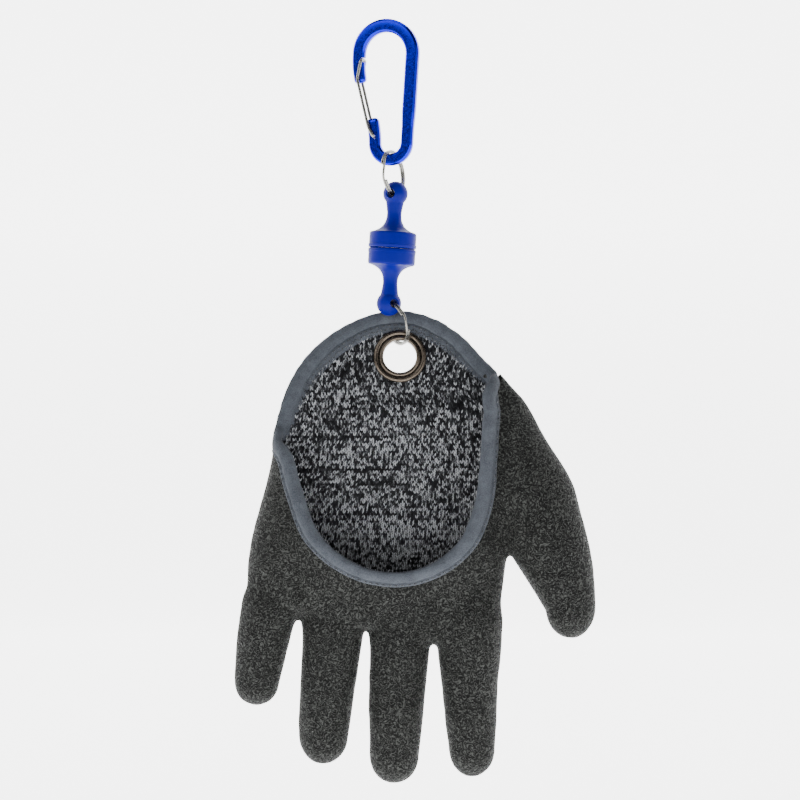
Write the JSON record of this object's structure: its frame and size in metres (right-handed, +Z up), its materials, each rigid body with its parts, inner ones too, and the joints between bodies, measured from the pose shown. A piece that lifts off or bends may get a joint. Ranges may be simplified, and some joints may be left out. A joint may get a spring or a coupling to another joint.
{
  "type": "fishing glove",
  "caption": "Right-hand landing glove with a crinkled rubber coat, knitted liner and wide low-cut mouth, hanging by an eyelet and split rings from a magnetic connector and a carabiner.",
  "frame": {"origin": "hang point: the inside top of the carabiner's upper bend, where it hangs on a peg", "axes": "+Z up, +X towards the thumb, +Y towards the long wall of the glove that carries the eyelet"},
  "size_m": [0.179, 0.0396, 0.3821],
  "materials": {
    "blue_metal": "blue anodised",
    "steel": "bright",
    "blue_plastic": "matte",
    "magnet": "nickel plated",
    "nickel": "dark nickel",
    "rubber": "crinkled, matte",
    "knit": "melange knit",
    "tape": "folded tape"
  },
  "bodies": {
    "carabiner": {"carabiner_frame": "blue_metal", "upper_split_ring": "steel", "connector_upper": "blue_plastic", "magnet_upper": "magnet"},
    "gate": {"gate_wire": "steel"},
    "glove": {"connector_lower": "blue_plastic", "magnet_lower": "magnet", "lower_split_ring": "steel", "eyelet": "nickel", "latex_coat": "rubber", "knit_liner": "knit", "edge_binding": "tape"}
  },
  "joints": [
    {"name": "gate_hinge", "type": "hinge", "parent": "carabiner", "child": "gate", "pos_m": [-0.00526, 0.00192, -0.0527], "axis": [0.342, 0.9397, 0], "range_deg": [0, 25], "stiffness_Nm_per_rad": 0.02, "springref_deg": -17.19},
    {"name": "magnet_release", "type": "slide", "parent": "carabiner", "child": "glove", "axis": [-0.0598, 0, -0.9982], "range_m": [0, 0.03]}
  ]
}
